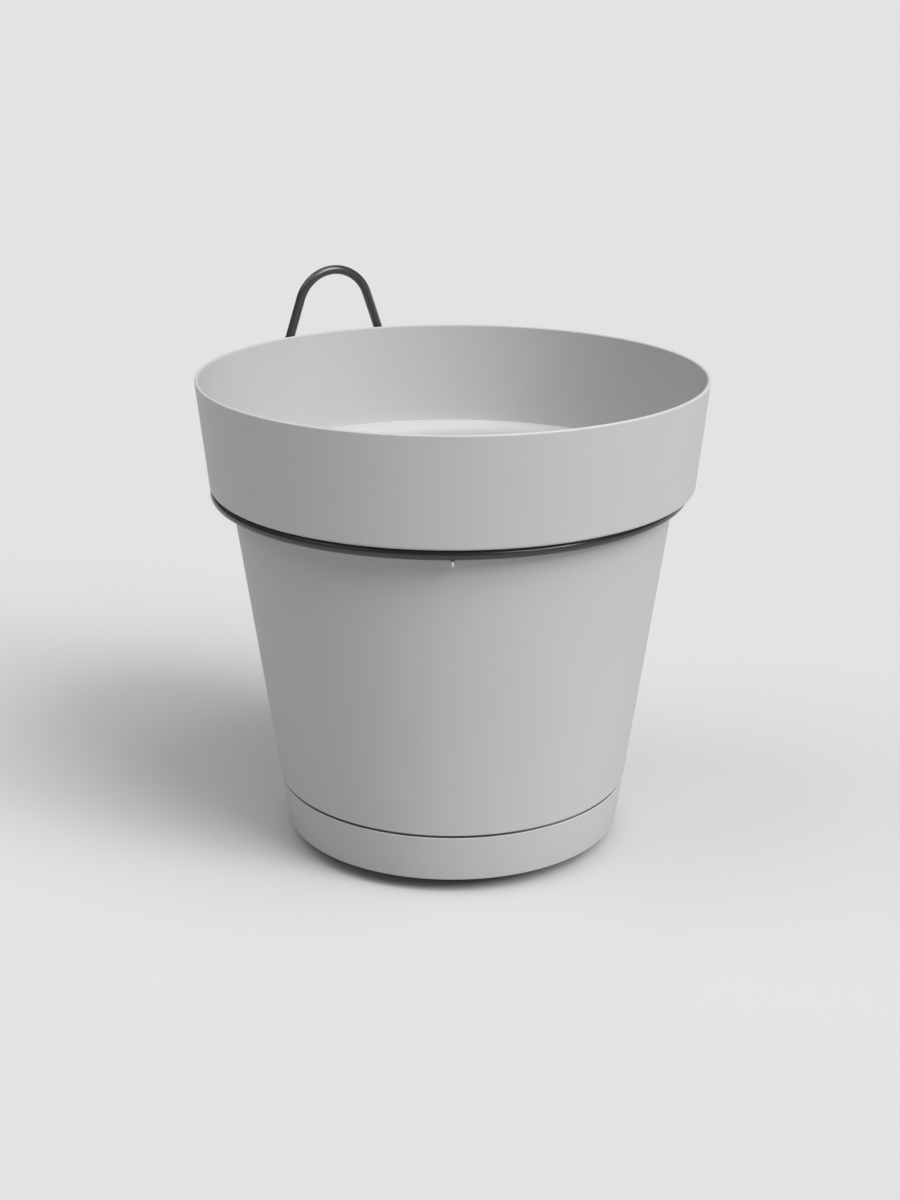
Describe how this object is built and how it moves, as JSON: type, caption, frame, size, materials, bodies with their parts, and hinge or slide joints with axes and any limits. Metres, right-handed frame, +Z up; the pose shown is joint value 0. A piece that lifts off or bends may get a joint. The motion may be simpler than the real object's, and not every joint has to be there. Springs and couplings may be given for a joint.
{
  "type": "wall-hung flower pot",
  "caption": "Tapered plastic flower pot with a wide stepped collar, a push-on saucer and a wire hanger whose hoop sits under the collar and whose loop rises behind the rim.",
  "frame": {"origin": "on the pot's axis, on the surface that the saucer stands on", "axes": "+Z up along the pot's axis; the hanging loop is on the +Y side"},
  "size_m": [0.2398, 0.2452, 0.2618],
  "materials": {
    "pot_plastic": "fine matte grain, light grey",
    "saucer_plastic": "fine matte grain, light grey",
    "hoop_coat": "satin anthracite coating",
    "loop_coat": "satin anthracite coating"
  },
  "bodies": {
    "pot": {"pot": "pot_plastic"},
    "saucer": {"saucer": "saucer_plastic"},
    "hanger": {"hanger_hoop": "hoop_coat", "hanger_loop": "loop_coat"}
  },
  "joints": [
    {"name": "hanger_turn", "type": "hinge", "parent": "pot", "child": "hanger", "pos_m": [0, 0, 0.1746], "axis": [0, 0, 1], "continuous": true},
    {"name": "saucer_pull", "type": "slide", "parent": "pot", "child": "saucer", "axis": [0, 0, -1], "range_m": [0, 0.04]}
  ]
}
